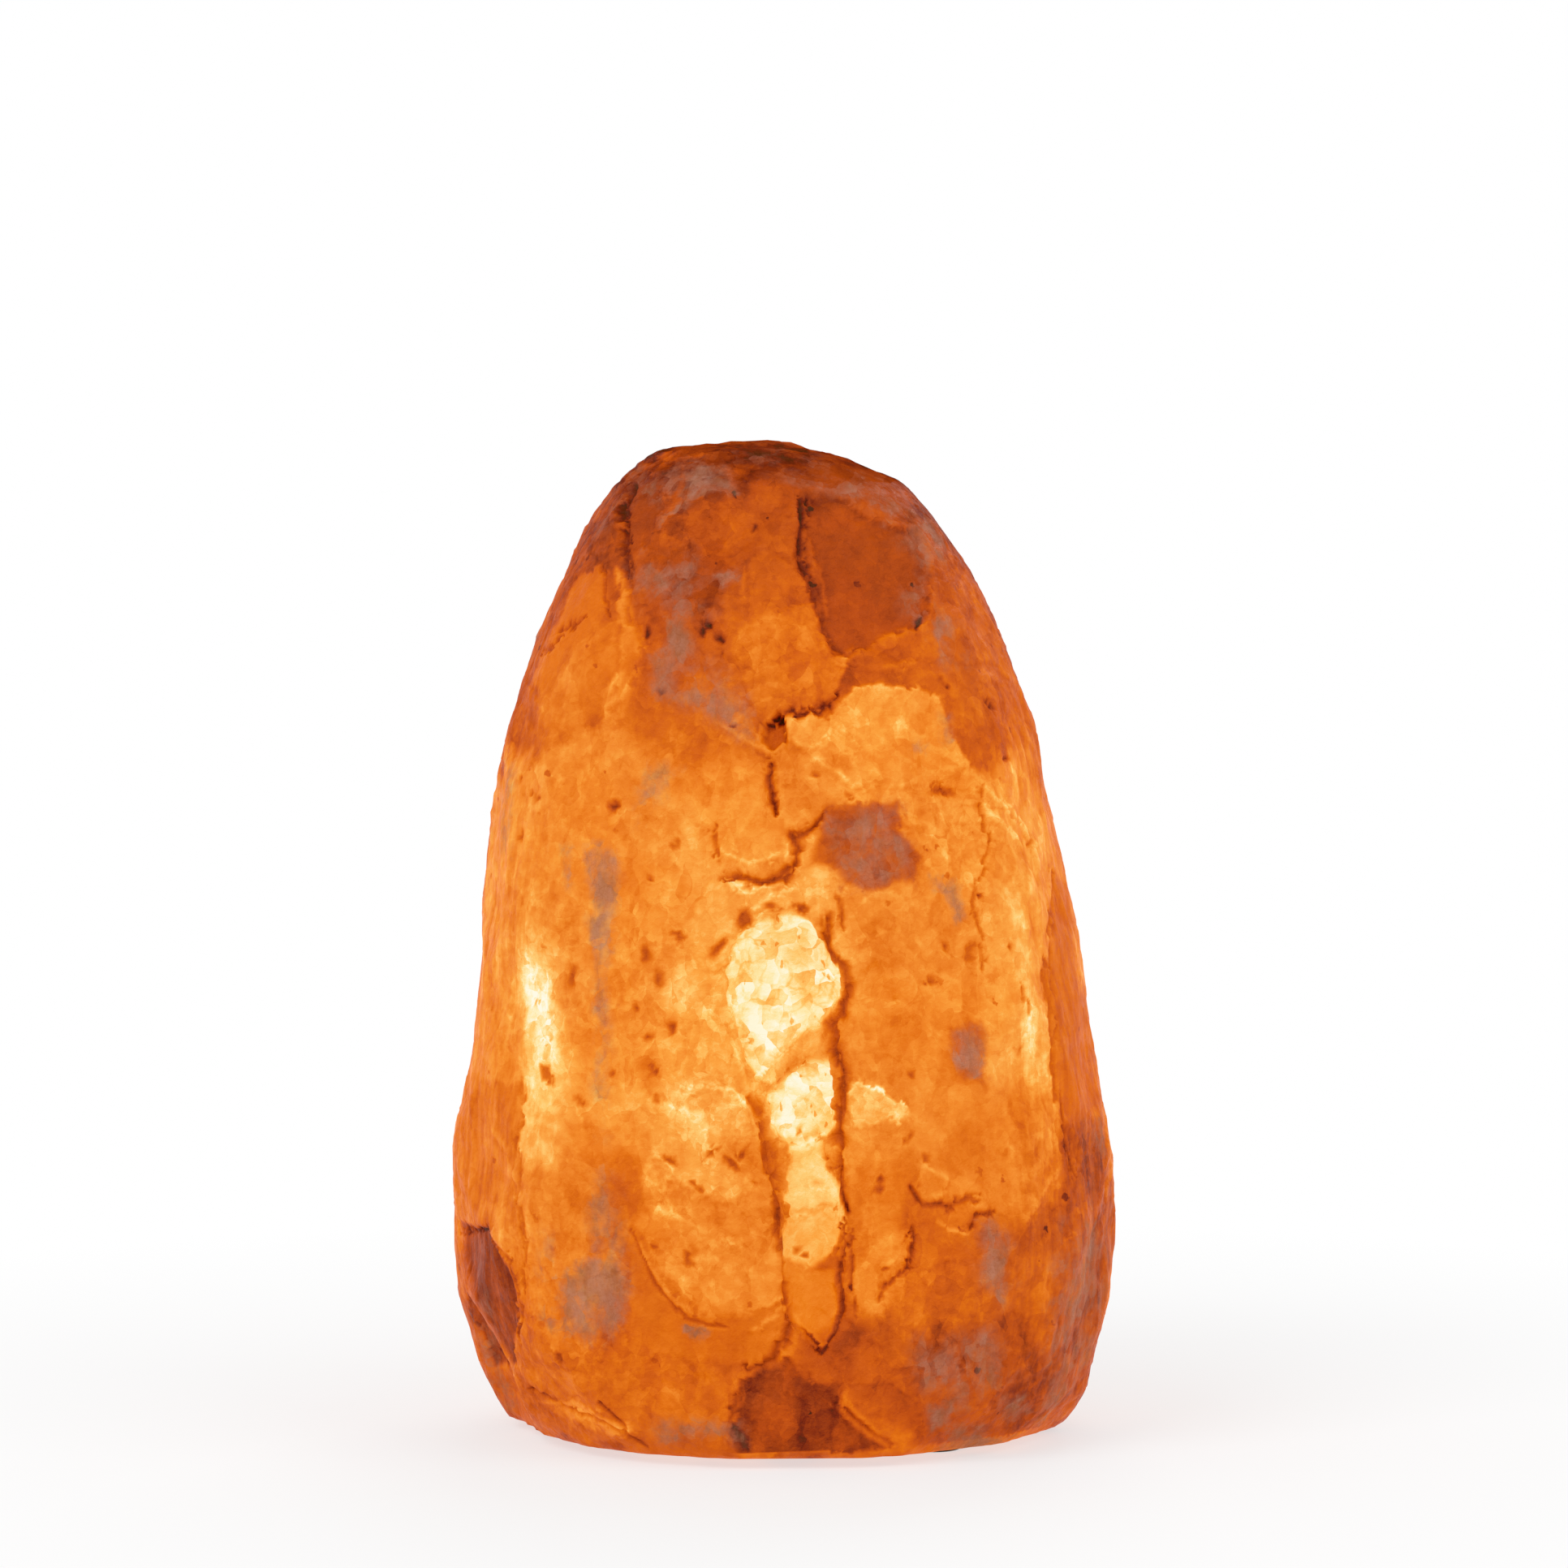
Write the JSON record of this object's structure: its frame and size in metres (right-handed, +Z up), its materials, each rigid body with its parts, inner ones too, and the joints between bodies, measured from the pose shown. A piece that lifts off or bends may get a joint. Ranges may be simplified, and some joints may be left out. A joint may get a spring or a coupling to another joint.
{
  "type": "salt crystal lamp",
  "caption": "Rough-hewn block of rock salt that stands on rubber feet over a drilled bore, in which a spring-clipped holder carries a small screw-cap lamp.",
  "frame": {"origin": "centre of the whole lamp's box, on the surface that it stands on", "axes": "+Z up, -Y the front face with the split, +X to the right seen from the front, +Y the side where the cord slot leads out"},
  "size_m": [0.1474, 0.1256, 0.22],
  "materials": {
    "rock_salt": "rough broken crystal, lit from inside",
    "foot_rubber": "matte",
    "white_plastic": "satin",
    "phenolic": "matte",
    "brass": "satin",
    "screw_steel": "satin",
    "plated_steel": "satin",
    "spring_steel": "satin",
    "solder": "satin",
    "black_glass": "gloss",
    "lamp_cap_metal": "satin",
    "clear_glass": "gloss",
    "lead_wire": "satin",
    "filament": "matte"
  },
  "bodies": {
    "holder": {"cord_gland": "white_plastic", "holder_cap": "white_plastic", "holder_shell": "white_plastic", "insulator_insert": "phenolic", "screw_shell": "brass", "centre_contact": "brass", "terminal_left": "brass", "terminal_right": "brass", "terminal_screws": "screw_steel", "clip_plate": "plated_steel", "locking_ring": "white_plastic", "clip_feet": "spring_steel", "clip_rivets": "plated_steel"},
    "crystal": {"salt_crystal": "rock_salt", "foot_front_left": "foot_rubber", "foot_front_right": "foot_rubber", "foot_back_left": "foot_rubber", "foot_back_right": "foot_rubber"},
    "clip_left": {"clip_wing_left": "spring_steel"},
    "clip_right": {"clip_wing_right": "spring_steel"},
    "lamp_contact": {"lamp_eyelet": "solder"},
    "lamp": {"lamp_insulator": "black_glass", "lamp_cap": "lamp_cap_metal", "lamp_glass": "clear_glass", "lamp_stem": "clear_glass", "lamp_leads": "lead_wire", "lamp_filament": "filament", "lamp_support": "lead_wire"}
  },
  "joints": [
    {"name": "crystal_lift", "type": "slide", "parent": "holder", "child": "crystal", "axis": [0, 0, 1], "range_m": [0, 0.11]},
    {"name": "clip_left_flex", "type": "hinge", "parent": "holder", "child": "clip_left", "pos_m": [-0.01805, 0, 0.0377], "axis": [0, 1, 0], "range_deg": [0, 12], "stiffness_Nm_per_rad": 0.1, "springref_deg": -11.46},
    {"name": "clip_right_flex", "type": "hinge", "parent": "holder", "child": "clip_right", "pos_m": [0.02105, 0, 0.0377], "axis": [0, -1, 0], "range_deg": [0, 12], "stiffness_Nm_per_rad": 0.1, "springref_deg": -11.46},
    {"name": "lamp_lift", "type": "slide", "parent": "holder", "child": "lamp_contact", "axis": [0, 0, 1], "range_m": [0, 0.01129]},
    {"name": "lamp_turn", "type": "hinge", "parent": "lamp_contact", "child": "lamp", "pos_m": [0.0015, 0, 0.0447], "axis": [0, 0, 1], "range_deg": [0, 1440]}
  ],
  "couplings": [
    {"joint": "lamp_turn", "follows": "lamp_lift", "rad_per_m": 2226.5}
  ]
}
